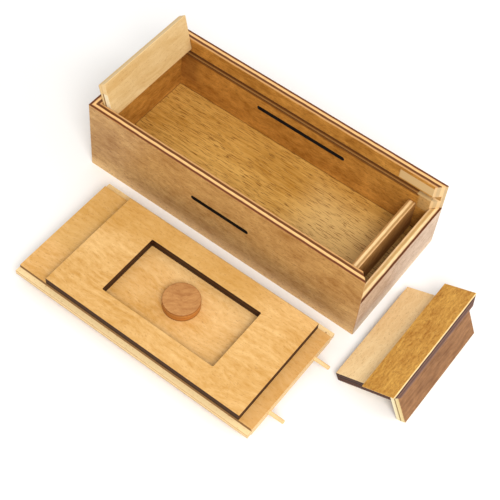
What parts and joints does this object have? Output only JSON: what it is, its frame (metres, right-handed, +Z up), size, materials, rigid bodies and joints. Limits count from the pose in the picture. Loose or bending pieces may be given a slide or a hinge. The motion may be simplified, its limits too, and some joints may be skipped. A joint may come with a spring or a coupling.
{
  "type": "wooden puzzle box",
  "caption": "Wooden puzzle box laid out open: box with a tipped flap and a divider, grooved sliding lid with lock pins, and lift-off end piece.",
  "frame": {"origin": "centre of the box's underside, on the surface that the box stands on", "axes": "+X along the box towards its low end, where the lid slides out; +Y to the back wall; +Z up"},
  "size_m": [0.3374, 0.2412, 0.0952],
  "materials": {
    "wall_plywood": "brown stained plywood, rubbed with wax",
    "floor_plywood": "golden stained plywood with dark grain streaks",
    "lid_plywood": "bare birch plywood, laser-cut edges burnt dark",
    "disc_plywood": "tan plywood disc with a darker side",
    "dowel_beech": "bare beech dowel"
  },
  "bodies": {
    "box": {"front_wall": "wall_plywood", "back_wall": "wall_plywood", "left_end_wall": "wall_plywood", "right_end_wall": "wall_plywood", "floor_panel": "floor_plywood", "divider": "wall_plywood", "front_pivot_pin": "dowel_beech", "rear_pivot_pin": "dowel_beech"},
    "flap": {"left_flap": "lid_plywood"},
    "lid": {"lid_panel": "lid_plywood", "lid_inner_plate": "lid_plywood", "lid_top_plate": "lid_plywood", "lid_disc": "disc_plywood", "lock_pin_front": "dowel_beech", "lock_pin_rear": "dowel_beech"},
    "end_piece": {"end_strip": "wall_plywood", "end_tongue_board": "lid_plywood", "end_cover_board": "wall_plywood"}
  },
  "joints": [
    {"name": "flap_hinge", "type": "hinge", "parent": "box", "child": "flap", "pos_m": [-0.118, 0, 0.0641], "axis": [0, 1, 0], "range_deg": [0, 103.2]},
    {"name": "lid_slide", "type": "slide", "parent": "box", "child": "lid", "axis": [1, 0, 0], "range_m": [-0.256, 0]},
    {"name": "end_piece_lift", "type": "slide", "parent": "box", "child": "end_piece", "axis": [0, 0, 1], "range_m": [0, 0.059]}
  ]
}
